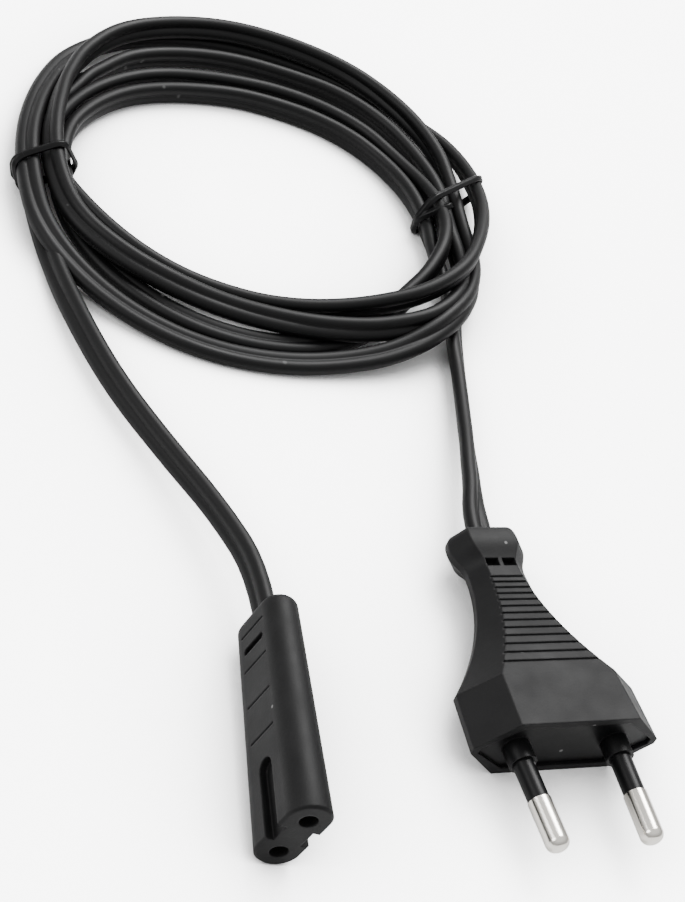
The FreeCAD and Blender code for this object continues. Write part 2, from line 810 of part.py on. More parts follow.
# Coil: one ring of the coil's outer shape, higher where the cord to the plug passes under the turns.
outer = oval("coil_outside", "Sizes.coil_outer_y", "Sizes.coil_outer_x", size("coil_outer_shift"), 90)
inner = oval("coil_opening", "Sizes.coil_inner_x", "Sizes.coil_inner_y", size("coil_inner_shift"), 0)
high = size("coil_high_top")
mean_top = (high + size("coil_low_top")) / 2
slope = math.atan((high - size("coil_low_top")) / (2 * size("coil_outer_x")))
rise = FreeCAD.Rotation(vector(0, 0, 1), size("coil_rise_towards"))
tilt = FreeCAD.Rotation(vector(0, 1, 0), -math.degrees(slope))
top_plane = placed(size("coil_x"), size("coil_y"), mean_top, rise.multiply(tilt))
span = "4 * Sizes.coil_outer_y"
corner = -2 * size("coil_outer_y")
above = block("above_coil", span, span, span, top_plane, corner, corner, 0)
ring = cut("coil_ring", cut("coil_blank", outer, inner), above)
coil = rounded_edges("coil_rounded", ring, size("coil_rounding"), lambda edge: edge.isClosed())
named(coil, "cord_coil")


def runs_across(edge):
    """True for the long edges of a tie's band."""
    return abs(edge.tangentAt(edge.FirstParameter).y) > 0.9


# Ties: a thin band round the whole bundle, a little askew to it, cut to the coil's own surface.
for name in ("left", "right"):
    place = size("tie_%s_angle" % name)
    angle = place + size("tie_%s_skew" % name)
    middle = FreeCAD.Rotation(vector(0, 0, 1), place).multVec(vector(size("tie_reach"), 0, 0))
    heading = FreeCAD.Rotation(vector(0, 0, 1), angle).multVec(vector(1, 0, 0))
    near = wall_distance(size("coil_inner_x"), size("coil_inner_y"), size("coil_inner_shift"), middle, heading)
    far = wall_distance(size("coil_outer_x"), size("coil_outer_y"), size("coil_outer_shift"), middle, heading)
    away = math.cos(math.radians(place - size("coil_rise_towards")))
    top = mean_top + math.tan(slope) * size("tie_reach") * away
    length = "%.3f + 2 * Sizes.tie_thickness" % (far - near)
    height = "%.3f + Sizes.tie_thickness" % top
    band = block("band_" + name, length, "Sizes.tie_width", height, placed(0, 0, 0), 0, 0, 0)
    smooth = rounded_edges("band_rounded_" + name, band, size("tie_rounding"), runs_across)
    spin = FreeCAD.Rotation(vector(0, 0, 1), angle)
    at = placed(size("coil_x") + middle.x, size("coil_y") + middle.y, 0, spin)
    smooth.Placement = at.multiply(placed(near - size("tie_thickness"), -size("tie_width") / 2, 0))
    named(cut("tie_" + name, smooth, coil), "tie_" + name)

# Cord between the connector and the coil, and between the plug and the coil.
connector_exit = [
    vector(0, cord_start, centre_height),
    vector(0, rear + size("cord_exit_connector"), centre_height),
]
connector_tail = flat_sweep(
    "connector_tail",
    connector_exit + [vector(*point) for point in CONNECTOR_ROUTE],
    across_holes,
)
named(cut("cord_tail_connector", connector_tail, coil), "cord_tail_connector")
plug_exit = [
    plug.multVec(vector(0, cord_start_plug, 0)),
    plug.multVec(vector(0, size("plug_length") + size("cord_exit_plug"), 0)),
]
plug_tail = flat_sweep(
    "plug_tail",
    plug_exit + [vector(*point) for point in PLUG_ROUTE],
    plug.Rotation.multVec(vector(1, 0, 0)),
)
named(cut("cord_tail_plug", plug_tail, coil), "cord_tail_plug")

# The two mouldings, cut by everything that they hold.
held_in_connector = [*contact_spaces, *contacts, carrier, *connector_coverings, connector_tail]
connector_tools = [fused("connector_grooves", connector_cuts), *held_in_connector]
named(cut_in_turn("connector_body", shell, connector_tools), "connector_body")
held_in_plug = [recess, pin_bridge, *sleeves, *crimp_spaces, *pins, *plug_coverings, plug_tail]
plug_tools = [fused("plug_grooves", plug_cuts), *held_in_plug]
named(cut_in_turn("plug_body", plug_shell, plug_tools), "plug_body")

doc.recompute()
for thing in doc.Objects:
    if "Invalid" in thing.State or "Error" in thing.State:
        raise RuntimeError("%s failed: %s" % (thing.Name, thing.State))
for piece in parts:
    if piece.Shape.isNull() or not piece.Shape.isValid():
        raise RuntimeError("%s has no valid shape" % piece.Label)

os.makedirs("parts", exist_ok=True)
for piece in parts:
    piece.Shape.exportStep("parts/%s.step" % piece.Label)
    box = piece.Shape.BoundBox
    sides = [round(length, 2) for length in (box.XLength, box.YLength, box.ZLength)]
    volume = round(piece.Shape.Volume, 1)
    print(piece.Label, "solids", len(piece.Shape.Solids), "volume", volume, "box", sides)
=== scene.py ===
import math

import bmesh
import bpy
from mathutils import Matrix, Vector


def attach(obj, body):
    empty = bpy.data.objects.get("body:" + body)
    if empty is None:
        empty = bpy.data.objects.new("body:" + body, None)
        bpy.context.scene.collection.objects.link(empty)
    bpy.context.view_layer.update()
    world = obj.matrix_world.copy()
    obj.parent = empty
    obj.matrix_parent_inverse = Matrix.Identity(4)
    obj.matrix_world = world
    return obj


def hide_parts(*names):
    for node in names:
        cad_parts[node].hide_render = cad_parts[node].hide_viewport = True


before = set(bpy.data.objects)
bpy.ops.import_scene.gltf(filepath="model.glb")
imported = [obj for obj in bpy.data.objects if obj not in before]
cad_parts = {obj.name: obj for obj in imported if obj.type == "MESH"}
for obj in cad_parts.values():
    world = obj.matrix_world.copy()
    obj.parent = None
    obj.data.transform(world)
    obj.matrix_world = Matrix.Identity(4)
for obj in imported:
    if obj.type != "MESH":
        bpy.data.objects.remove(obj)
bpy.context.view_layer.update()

# %% [markdown]
# # Figure-eight mains lead
#
# A small connector stands on its edge at the front left, a flat two-pin plug lies at the front right, and the cord
# between them lies behind in a tied coil. The camera comes first, then the cord, then the ties and the mouldings.
# All lengths are in metres, and the floor is at height zero.

# %% [markdown]
# ## Camera
#
# The photo was taken from the connector's side with a rather long lens, looking down at about 41 degrees and turned
# a quarter of the way round its own axis. The three directions below are the picture's right, its top and the way
# that the camera looks. The measured right is squared up against the other two. The lens follows from a tall
# picture, where the sensor's long side is its height.

# %% Camera
CAMERA_AT = Vector((-0.08927, -0.17314, 0.23463))
LOOKING = Vector((0.3130, 0.6829, -0.6600)).normalized()
MEASURED_RIGHT = Vector((0.9394, -0.1205, 0.3209)).normalized()
PICTURE_UP = MEASURED_RIGHT.cross(LOOKING).normalized()
PICTURE_RIGHT = LOOKING.cross(PICTURE_UP).normalized()
SENSOR_MM = 36.0
LENS_MM = 76.32
NEAREST = 0.01
FARTHEST = 20.0

camera_data = bpy.data.cameras.new("camera")
camera_data.sensor_width = SENSOR_MM
camera_data.lens = LENS_MM
camera_data.clip_start = NEAREST
camera_data.clip_end = FARTHEST
camera = bpy.data.objects.new("camera", camera_data)
bpy.context.collection.objects.link(camera)
turn = Matrix((PICTURE_RIGHT, PICTURE_UP, -LOOKING)).transposed()
camera.matrix_world = Matrix.Translation(CAMERA_AT) @ turn.to_4x4()
bpy.context.scene.camera = camera
print("camera tilt", round(math.degrees(math.asin(-LOOKING.z)), 1))

# %% [markdown]
# ## The cord's line
#
# The cord leaves the connector, comes to the coil from the left, runs four and a half times round it and leaves at
# the right for the plug. Nothing holds the turns between the two ties, so each turn has its own size. The tables
# give every turn's distance from the coil's middle, its height and its lean, once in 15 degrees. Some turns stand on
# edge and some lie flat under their neighbours. The cord of the plug passes under the turns at the right, so the
# turns rise there in long low humps and lie down again.

# %% Cord's line
CONNECTOR_ROUTE = [
    (0, 0.012, 0.007986),
    (0, 0.0285, 0.007986),
    (-0.0057, 0.044, 0.0063),
    (-0.0138, 0.0585, 0.0049),
    (-0.0221, 0.074, 0.004),
    (-0.0285, 0.0905, 0.0036),
    (-0.0327, 0.106, 0.0025),
    (-0.0354, 0.1213, 0.0026),
]
PLUG_ROUTE = [
    (0.0512, 0.116, 0.0024),
    (0.0492, 0.1025, 0.0025),
    (0.0481, 0.0895, 0.0029),
    (0.0463, 0.0755, 0.004),
    (0.0441, 0.0605, 0.006),
    (0.042138, 0.047025, 0.00685),
    (0.044353, 0.034012, 0.00685),
]
COIL_MIDDLE = Vector((0.00955, 0.1391, 0.0))
FIRST_ANGLE = -15
STEP = 15
MM_IN_METRE = 1000
LINE_FINENESS = 6
# Distance from the middle in millimetres, a row for each turn, from the plug's end of the cord.
REACH = [
    [41, 38.8, 38, 37.4, 36.5, 35.1, 33.7, 33.4, 33.2, 34.3, 36, 37.4,
     38.9, 39.8, 40.9, 42.2, 43.4, 44.4, 45, 44.9, 44, 42.3, 40.4, 40.8],
    [41.6, 41.5, 41.2, 40.5, 41.2, 40.2, 38.9, 37.9, 38.1, 39.3, 40.2, 41,
     42, 42.6, 41.8, 40.3, 38.4, 36.5, 35.4, 35.8, 37.2, 39.9, 44.1, 46.9],
    [47.8, 50.3, 54.1, 57.3, 56.4, 55.4, 54.9, 54.6, 54.2, 54, 52.2, 48.6,
     47, 47.1, 48.4, 51.2, 51.1, 50.9, 50.7, 49.9, 49.5, 51, 51.5, 50.6],
    [48.5, 46.8, 48.4, 52.1, 53.1, 54.5, 54.6, 54.7, 53.3, 51.9, 48.4, 44.8,
     42.6, 42.5, 43.2, 44.2, 42.4, 40.7, 40, 40.6, 42.8, 46.3, 49.3, 48.4],
    [46, 43.7, 45.4, 46.6, 48.4, 48.6, 46.6, 46.6, 46.2, 46.3, 45, 45,
     46, 46.8],
]
# Height of the section's middle above the floor in millimetres.
HEIGHT = [
    [2.6, 3.3, 3.2, 2.6, 2.55, 2.5, 2.5, 2.5, 2.5, 2.5, 2.5, 2.6,
     2.9, 3.2, 2.2, 1.6, 1.6, 1.55, 1.55, 1.55, 1.7, 2.4, 4.2, 6.4],
    [7.9, 6.6, 4.4, 2.9, 2.55, 2.5, 2.5, 2.5, 2.5, 2.5, 2.5, 2.5,
     2.8, 3.8, 5.2, 5.6, 4.6, 3.4, 3, 3.4, 4.6, 6.6, 9.2, 10.9],
    [10, 8, 5, 3.2, 2.15, 1.7, 1.55, 1.55, 1.55, 1.55, 1.65, 3.6,
     4.9, 5.8, 5.7, 5.2, 3, 1.9, 1.6, 1.6, 2.2, 4.4, 7.4, 6.9],
    [4.8, 3.5, 3.6, 4.2, 5.4, 5.6, 5.5, 5.4, 5.4, 5.4, 5.6, 6.4,
     7.2, 7.3, 7, 6.3, 5.6, 5, 4.4, 4.5, 5, 6.2, 7.5, 7],
    [3.8, 3.3, 3.3, 2.7, 2.55, 2.5, 2.5, 2.5, 2.5, 2.5, 2.4, 1.9,
     2.1, 2.4],
]
# Lean of the section from upright in degrees, with its top towards the coil's middle where it is above zero.
LEAN = [
    [40, 12, 4, 0, -4, -3, 0, 3, 5, 4, 2, 0,
     0, 10, 65, 84, 84, 86, 86, 86, 80, 60, 30, 10],
    [12, 8, 4, 0, -3, -6, -6, -3, 0, 3, 5, 0,
     0, 0, 0, 5, 5, 6, 5, 2, -2, -4, -4, 0],
    [4, 8, 12, 30, 55, 80, 88, 88, 88, 86, 82, 76,
     68, 62, 66, 76, 84, 86, 86, 86, 86, 80, 50, 20],
    [0, 2, 4, 0, -14, -26, -30, -30, -28, -20, -6, 8,
     20, 34, 42, 45, 50, 55, 60, 55, 45, 35, 15, 0],
    [4, 4, 0, -4, -6, -3, 0, 3, 3, 5, 30, 76,
     84, 80],
]
# A spline through a ring of points runs a little inside it.
CUT_IN = math.cos(math.radians(STEP / 2))


def coil_points():
    """The coil's control points, from the plug's end to the connector's."""
    points = []
    for row, heights in zip(REACH, HEIGHT):
        for i, (reach, height) in enumerate(zip(row, heights)):
            angle = math.radians(FIRST_ANGLE + STEP * i)
            away = reach / CUT_IN / MM_IN_METRE
            offset = Vector((away * math.cos(angle), away * math.sin(angle), height / MM_IN_METRE))
            points.append(COIL_MIDDLE + offset)
    return points


route = [Vector(point) for point in CONNECTOR_ROUTE]
route += coil_points()[::-1]
route += [Vector(point) for point in PLUG_ROUTE]
line_data = bpy.data.curves.new("cord_line", "CURVE")
line_data.dimensions = "3D"
line_data.resolution_u = LINE_FINENESS
spline = line_data.splines.new("NURBS")
spline.points.add(len(route) - 1)
for control, point in zip(spline.points, route):
    control.co = (*point, 1.0)
spline.order_u = 3
spline.use_endpoint_u = True
line_object = bpy.data.objects.new("cord_line", line_data)
bpy.context.collection.objects.link(line_object)
bpy.context.view_layer.update()
line_mesh = bpy.data.meshes.new_from_object(line_object)
path = [vertex.co.copy() for vertex in line_mesh.vertices]
bpy.data.objects.remove(line_object)

# %% [markdown]
# ## The cord's sheath
#
# The sheath is pressed out as two round lobes side by side with a groove on each flat side, so the section is drawn
# as a figure eight and carried along the line. It stands on edge at the connector and in the coil, and lies flat
# where it enters the plug. A texture map keeps the distance along the cord and round it, for marks that run along
# the cord.

# %% Cord's sheath
LOBE = 0.00145
LOBE_OFFSET = 0.00105
WAIST = 0.00107
LOBE_ARC = 125
LOBE_STEPS = 10
CONNECTOR_LEAN = [13.2, 13.2, 14, 22, 34, 42, 30, 70]
PLUG_LEAN = [46, 36, 26, 24, 40, 84, 90]


def sheath_section():
    """Points of the figure-eight section: across the two lobes, and through the thickness."""
    half = []
    for i in range(LOBE_STEPS + 1):
        angle = math.radians(-LOBE_ARC + 2 * LOBE_ARC * i / LOBE_STEPS)
        half.append((LOBE_OFFSET + LOBE * math.cos(angle), LOBE * math.sin(angle)))
    half.append((0.0, WAIST))
    return half + [(-across, -through) for across, through in half]


def eased(part):
    """A step from 0 to 1 that starts and ends gently."""
    return part * part * (3 - 2 * part)


def lean_along(share, leans):
    """The section's lean at a share of the spline, between the leans of its control points."""
    place = share * (len(leans) - 2)
    at = min(max(place + 0.5, 0.0), len(leans) - 1.0)
    before = min(int(at), len(leans) - 2)
    return math.radians(leans[before] + (leans[before + 1] - leans[before]) * eased(at - before))


def new_piece(name, mesh):
    """Puts a mesh into the scene as a piece that rides on the model."""
    piece = bpy.data.objects.new(name, mesh)
    bpy.context.collection.objects.link(piece)
    for face in mesh.polygons:
        face.use_smooth = True
    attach(piece, "root")
    return piece


def sweep(name, line, section_at):
    """A closed tube along a line; section_at gives the points of each ring in space."""
    count = len(line)
    rings = [section_at(i) for i in range(count)]
    sides = len(rings[0])
    mesh = bpy.data.meshes.new(name)
    verts = [point for ring in rings for point in ring]
    faces = []
    for i in range(count - 1):
        for j in range(sides):
            k = (j + 1) % sides
            faces.append((i * sides + j, i * sides + k, (i + 1) * sides + k, (i + 1) * sides + j))
    faces.append(tuple(range(sides))[::-1])
    faces.append(tuple((count - 1) * sides + j for j in range(sides)))
    mesh.from_pydata(verts, [], faces)
    along = [0.0]
    for a, b in zip(line, line[1:]):
        along.append(along[-1] + (b - a).length)
    layer = mesh.uv_layers.new(name="along_cord")
    for face in mesh.polygons:
        for loop in face.loop_indices:
            vertex = mesh.loops[loop].vertex_index
            layer.data[loop].uv = (along[vertex // sides], (vertex % sides) / sides)
    mesh.validate()
    mesh.update()
    return mesh


SECTION = sheath_section()
ALL_LEANS = CONNECTOR_LEAN + [lean for row in LEAN for lean in row][::-1] + PLUG_LEAN
print("leans", len(ALL_LEANS), "route", len(route))


def cord_ring(i):
    """The section at a point of the line, upright there apart from its lean."""
    before = path[max(i - 1, 0)]
    after = path[min(i + 1, len(path) - 1)]
    heading = (after - before).normalized()
    upright = (Vector((0, 0, 1)) - heading * heading.z).normalized()
    inward = heading.cross(upright)
    lean = lean_along(i / (len(path) - 1), ALL_LEANS)
    across = upright * math.cos(lean) + inward * math.sin(lean)
    through = heading.cross(across)
    return [path[i] + across * a + through * b for a, b in SECTION]


cord = new_piece("cord", sweep("cord", path, cord_ring))
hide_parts("cord_tail_connector", "cord_coil", "cord_tail_plug")
print("cord faces", len(cord.data.polygons))

# %% [markdown]
# ## Ties
#
# Each tie is a thin flat wire in a plastic strip. It goes once round the whole bundle, drawn tight over whatever
# turns stand highest there, and its first few millimetres lie beside the band where the bundle holds them. The path
# is the outline of the turns at that place, read from the cord itself, so the strip lies on the cord. Both ties sit a
# little askew, as they were twisted on by hand.

# %% Ties
TIE_HALF_WIDTH = 0.00085
TIE_HALF_THICKNESS = 0.00032
TIE_WIRE = 0.00022
TIE_STEPS = 96
TIE_TOP = TIE_HALF_THICKNESS + TIE_WIRE
TIE_LIFT = TIE_HALF_THICKNESS + 0.00005
LOWEST_CENTRE = TIE_TOP + 0.00002
TIE_REACH = 0.0448
BUNDLE_HALF = 0.012
BAND_HALF = 0.0022
# The strip's section: how far across it, as a share of its half width, and how high above its middle.
TIE_SECTION = [
    (1.0, 0.0),
    (0.9, TIE_HALF_THICKNESS * 0.5),
    (0.45, TIE_HALF_THICKNESS * 0.6),
    (0.25, TIE_TOP),
    (-0.25, TIE_TOP),
    (-0.45, TIE_HALF_THICKNESS * 0.6),
    (-0.9, TIE_HALF_THICKNESS * 0.5),
    (-1.0, 0.0),
    (-0.9, -TIE_HALF_THICKNESS),
    (0.9, -TIE_HALF_THICKNESS),
]


def outline_of_turns(middle, heading):
    """The hull of the cord near an upright plane across the bundle, as distance and height."""
    turned = Matrix.Rotation(-heading, 3, "Z")
    near = []
    for vertex in cord.data.vertices:
        local = turned @ (vertex.co - middle)
        if abs(local.x) < BUNDLE_HALF and abs(local.y) < BAND_HALF:
            near.append((local.x, local.z))
    near = sorted(set(near))
    hull = []
    for points in (near, near[::-1]):
        side = []
        for point in points:
            while len(side) > 1:
                (ax, ay), (bx, by) = side[-2:]
                if (bx - ax) * (point[1] - ay) - (by - ay) * (point[0] - ax) > 0:
                    break
                side.pop()
            side.append(point)
        hull += side[:-1]
    return hull


def even_loop(points, count):
    """A closed outline drawn again with evenly spaced points."""
    lengths = [0.0]
    closed = points + points[:1]
    for (ax, ay), (bx, by) in zip(closed, closed[1:]):
        lengths.append(lengths[-1] + math.hypot(bx - ax, by - ay))
    even = []
    at = 0
    for i in range(count):
        want = lengths[-1] * i / count
        while lengths[at + 1] < want:
            at += 1
        share = (want - lengths[at]) / (lengths[at + 1] - lengths[at])
        (ax, ay), (bx, by) = closed[at], closed[at + 1]
        even.append(Vector((ax + (bx - ax) * share, ay + (by - ay) * share)))
    return even


def make_tie(name, node, angle, skew, second_from, second_share, shift):
    """A strip once round the turns and a little further, its first part shifted along the bundle."""
    middle = COIL_MIDDLE + Matrix.Rotation(math.radians(angle), 3, "Z") @ Vector((TIE_REACH, 0.0, 0.0))
    heading = math.radians(angle + skew)
    loop = even_loop(outline_of_turns(middle, heading), TIE_STEPS)
    spin = Matrix.Rotation(heading, 3, "Z")
    start = round(second_from * TIE_STEPS)
    total = round((1 + second_share) * TIE_STEPS)
    centres = []
    outwards = []
    for i in range(total + 1):
        at = (start + i) % TIE_STEPS
        before = loop[at - 1]
        after = loop[(at + 1) % TIE_STEPS]
        along = (after - before).normalized()
        outward = Vector((along.y, -along.x))
        part = min(i / (second_share * TIE_STEPS), 1.0)
        aside = shift * (1 - eased(part))
        place = loop[at] + outward * TIE_LIFT
        height = max(place.y, LOWEST_CENTRE)
        centres.append(middle + spin @ Vector((place.x, aside, height)))
        outwards.append(spin @ Vector((outward.x, 0.0, outward.y)))

    def ring(i):
        """The strip's section at one of its centres."""
        before = centres[max(i - 1, 0)]
        after = centres[min(i + 1, len(centres) - 1)]
        heading = (after - before).normalized()
        outward = (outwards[i] - heading * outwards[i].dot(heading)).normalized()
        aside = heading.cross(outward)
        return [centres[i] + aside * (TIE_HALF_WIDTH * a) + outward * b for a, b in TIE_SECTION]

    tie = new_piece(name, sweep(name, centres, ring))
    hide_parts(node)
    length = sum((b - a).length for a, b in zip(centres, centres[1:]))
    print(name, "length", round(length, 4))
    return tie


tie_left_piece = make_tie(
    "strip_left", "tie_left", angle=188.0, skew=12.0, second_from=0.36, second_share=0.22, shift=0.0035
)
tie_right_piece = make_tie(
    "strip_right", "tie_right", angle=8.5, skew=34.0, second_from=0.86, second_share=0.16, shift=-0.0035
)

# %% [markdown]
# ## What the cord is
#
# The cord is one piece from the connector to the plug. Its length is the length of the line itself, which comes
# to the usual metre and a half.

# %% [markdown]
# ## Effects that several materials use
#
# Three effects are made once as groups of nodes. Grain gives the fine texture of a moulding's skin. Rubbed edges
# finds the sharp edges, where handling polishes the plastic and makes it paler. Specks scatters a few tiny pale dots
# of dust and scuffs, as the photo shows near the plug's front edge.

# %% Groups of nodes


class Nodes:
    """Makes nodes in a tree and links their sockets."""

    def __init__(self, tree):
        self.tree = tree

    def add(self, kind, **values):
        node = self.tree.nodes.new(kind)
        for name, value in values.items():
            setattr(node, name, value)
        return node

    def link(self, source, target):
        self.tree.links.new(source, target)

    def put(self, source, target):
        """A socket is linked, anything else is set as the target's own value."""
        if isinstance(source, bpy.types.NodeSocket):
            self.link(source, target)
        else:
            target.default_value = source

    def noise(self, vector, scale, detail=3.0, roughness=0.5, distortion=0.0):
        node = self.add("ShaderNodeTexNoise")
        self.put(vector, node.inputs["Vector"])
        self.put(scale, node.inputs["Scale"])
        node.inputs["Detail"].default_value = detail
        node.inputs["Roughness"].default_value = roughness
        node.inputs["Distortion"].default_value = distortion
        return node.outputs["Fac"]

    def spread(self, value, low, high, to_low=0.0, to_high=1.0):
        node = self.add("ShaderNodeMapRange")
        self.put(value, node.inputs["Value"])
        for name, number in (("From Min", low), ("From Max", high), ("To Min", to_low), ("To Max", to_high)):
            self.put(number, node.inputs[name])
        return node.outputs["Result"]

    def math(self, operation, first, second):
        node = self.add("ShaderNodeMath", operation=operation)
        self.put(first, node.inputs[0])
        self.put(second, node.inputs[1])
        return node.outputs["Value"]

    def mix(self, share, first, second):
        node = self.add("ShaderNodeMix", data_type="RGBA")
        self.put(share, node.inputs[0])
        self.put(first, node.inputs[6])
        self.put(second, node.inputs[7])
        return node.outputs[2]


def group(name, inputs, outputs):
    """An empty group of nodes with its sockets, and the nodes where they come in and go out."""
    tree = bpy.data.node_groups.new(name, "ShaderNodeTree")
    for socket_name, kind, value in inputs:
        socket = tree.interface.new_socket(socket_name, in_out="INPUT", socket_type=kind)
        if value is not None:
            socket.default_value = value
    for socket_name, kind in outputs:
        tree.interface.new_socket(socket_name, in_out="OUTPUT", socket_type=kind)
    nodes = Nodes(tree)
    return nodes, nodes.add("NodeGroupInput").outputs, nodes.add("NodeGroupOutput").inputs


FLOAT = "NodeSocketFloat"
VECTOR = "NodeSocketVector"

nodes, given, result = group(
    "grain",
    [("Vector", VECTOR, None), ("Fineness", FLOAT, 2200.0)],
    [("Height", FLOAT), ("Shade", FLOAT)],
)
fine = nodes.noise(given["Vector"], given["Fineness"], 2.0, 0.6)
wide = nodes.noise(given["Vector"], nodes.math("MULTIPLY", given["Fineness"], 0.06), 3.0, 0.55)
broad = nodes.math("MULTIPLY", wide, 0.35)
nodes.link(nodes.math("ADD", nodes.math("MULTIPLY", fine, 0.65), broad), result["Height"])
nodes.link(nodes.spread(wide, 0.3, 0.7), result["Shade"])

nodes, given, result = group("rubbed_edges", [("Radius", FLOAT, 0.0005)], [("Mask", FLOAT), ("Normal", VECTOR)])
bevel = nodes.add("ShaderNodeBevel", samples=4)
nodes.link(given["Radius"], bevel.inputs["Radius"])
geometry = nodes.add("ShaderNodeNewGeometry")
facing = nodes.add("ShaderNodeVectorMath", operation="DOT_PRODUCT")
nodes.link(bevel.outputs["Normal"], facing.inputs[0])
nodes.link(geometry.outputs["Normal"], facing.inputs[1])
nodes.link(nodes.spread(facing.outputs["Value"], 0.995, 0.9), result["Mask"])
nodes.link(bevel.outputs["Normal"], result["Normal"])

nodes, given, result = group(
    "specks",
    [("Vector", VECTOR, None), ("Spacing", FLOAT, 400.0), ("Amount", FLOAT, 0.06)],
    [("Mask", FLOAT)],
)
cells = nodes.add("ShaderNodeTexVoronoi")
nodes.link(given["Vector"], cells.inputs["Vector"])
nodes.link(given["Spacing"], cells.inputs["Scale"])
near = nodes.spread(cells.outputs["Distance"], 0.16, 0.1)
chosen = nodes.add("ShaderNodeSeparateColor")
nodes.link(cells.outputs["Color"], chosen.inputs["Color"])
rare = nodes.math("LESS_THAN", chosen.outputs["Red"], given["Amount"])
nodes.link(nodes.math("MULTIPLY", near, rare), result["Mask"])
print("groups", sorted(tree.name for tree in bpy.data.node_groups))

# %% [markdown]
# ## Materials
#
# All the plastic is black PVC, but it isn't one black. The mouldings have a fine matt grain and paler edges. The
# cord is satin and was drawn through a die, so its marks run along it. The pin bridge and the sleeves are harder and
# smoother. The pins are nickel plated and turned, with fine rings round them.

# %% Materials
PLASTIC_SPECULAR = 0.14
SHEATH_SPECULAR = 0.16
DUST = (0.25, 0.25, 0.25, 1.0)
SCUFF = (0.12, 0.12, 0.12, 1.0)


def new_material(name):
    """A material with its shader, its nodes and the place in the model's own metres."""
    material = bpy.data.materials.new(name)
    material.use_nodes = True
    nodes = Nodes(material.node_tree)
    shader = material.node_tree.nodes["Principled BSDF"]
    place = nodes.add("ShaderNodeTexCoord").outputs["Object"]
    return material, nodes, shader.inputs, place


def use(nodes, name, **values):
    """One of the groups above, with its inputs linked or set."""
    node = nodes.add("ShaderNodeGroup", node_tree=bpy.data.node_groups[name])
    for socket, value in values.items():
        nodes.put(value, node.inputs[socket])
    return node.outputs


def bump(nodes, height, distance, strength, normal=None):
    node = nodes.add("ShaderNodeBump")
    nodes.put(height, node.inputs["Height"])
    node.inputs["Distance"].default_value = distance
    node.inputs["Strength"].default_value = strength
    if normal is not None:
        nodes.link(normal, node.inputs["Normal"])
    return node.outputs["Normal"]


def plastic(name, dark, pale, edge, roughness, fineness, bump_depth, edge_radius):
    """A moulded plastic: grain, uneven sheen, paler rubbed edges and a few specks."""
    material, nodes, shader, place = new_material(name)
    grain = use(nodes, "grain", Vector=place, Fineness=fineness)
    rubbed = use(nodes, "rubbed_edges", Radius=edge_radius)
    specks = use(nodes, "specks", Vector=place)
    base = nodes.mix(grain["Shade"], (*dark, 1.0), (*pale, 1.0))
    patch = nodes.noise(place, 420.0, 4.0, 0.65)
    wear = nodes.math("MULTIPLY", rubbed["Mask"], nodes.spread(patch, 0.35, 0.75, 0.1, 0.8))
    worn = nodes.mix(wear, base, (*edge, 1.0))
    dusty = nodes.mix(nodes.math("MULTIPLY", specks["Mask"], 0.5), worn, DUST)
    nodes.link(dusty, shader["Base Color"])
    sheen = nodes.spread(grain["Shade"], 0.0, 1.0, roughness - 0.05, roughness + 0.06)
    nodes.link(nodes.math("SUBTRACT", sheen, nodes.math("MULTIPLY", wear, 0.1)), shader["Roughness"])
    shader["Specular IOR Level"].default_value = PLASTIC_SPECULAR
    nodes.link(bump(nodes, grain["Height"], bump_depth, 0.55, rubbed["Normal"]), shader["Normal"])
    return material


def sheath(name):
    """The cord's satin sheath, with marks drawn out along it."""
    material, nodes, shader, place = new_material(name)
    grain = use(nodes, "grain", Vector=place, Fineness=1500.0)
    mapped = nodes.add("ShaderNodeUVMap", uv_map="along_cord")
    stretched = nodes.add("ShaderNodeMapping")
    nodes.link(mapped.outputs["UV"], stretched.inputs["Vector"])
    stretched.inputs["Scale"].default_value = (40.0, 24.0, 1.0)
    drawn = nodes.noise(stretched.outputs["Vector"], 1.0, 4.0, 0.6)
    base = nodes.mix(drawn, (0.0012, 0.0012, 0.0013, 1.0), (0.0026, 0.0026, 0.0028, 1.0))
    specks = use(nodes, "specks", Vector=place, Spacing=260.0, Amount=0.05)
    scuffed = nodes.mix(nodes.math("MULTIPLY", specks["Mask"], 0.35), base, SCUFF)
    nodes.link(scuffed, shader["Base Color"])
    nodes.link(nodes.spread(drawn, 0.25, 0.75, 0.44, 0.58), shader["Roughness"])
    height = nodes.math("ADD", nodes.math("MULTIPLY", drawn, 0.7), nodes.math("MULTIPLY", grain["Height"], 0.5))
    nodes.link(bump(nodes, height, 0.00003, 0.5), shader["Normal"])
    shader["Specular IOR Level"].default_value = SHEATH_SPECULAR
    return material


def metal(name, dark, pale, roughness, ring_scale, ring_depth):
    """A turned metal: fine rings across its length and a slightly uneven colour."""
    material, nodes, shader, place = new_material(name)
    grain = use(nodes, "grain", Vector=place, Fineness=1200.0)
    rings = nodes.add("ShaderNodeTexWave", bands_direction="Y", wave_profile="SIN")
    nodes.link(place, rings.inputs["Vector"])
    rings.inputs["Scale"].default_value = ring_scale
    rings.inputs["Distortion"].default_value = 1.5
    nodes.link(nodes.mix(grain["Shade"], (*dark, 1.0), (*pale, 1.0)), shader["Base Color"])
    shader["Metallic"].default_value = 1.0
    rough = nodes.spread(grain["Shade"], 0.0, 1.0, roughness - 0.04, roughness + 0.08)
    nodes.link(rough, shader["Roughness"])
    nodes.link(bump(nodes, rings.outputs["Fac"], ring_depth, 0.3), shader["Normal"])
    return material


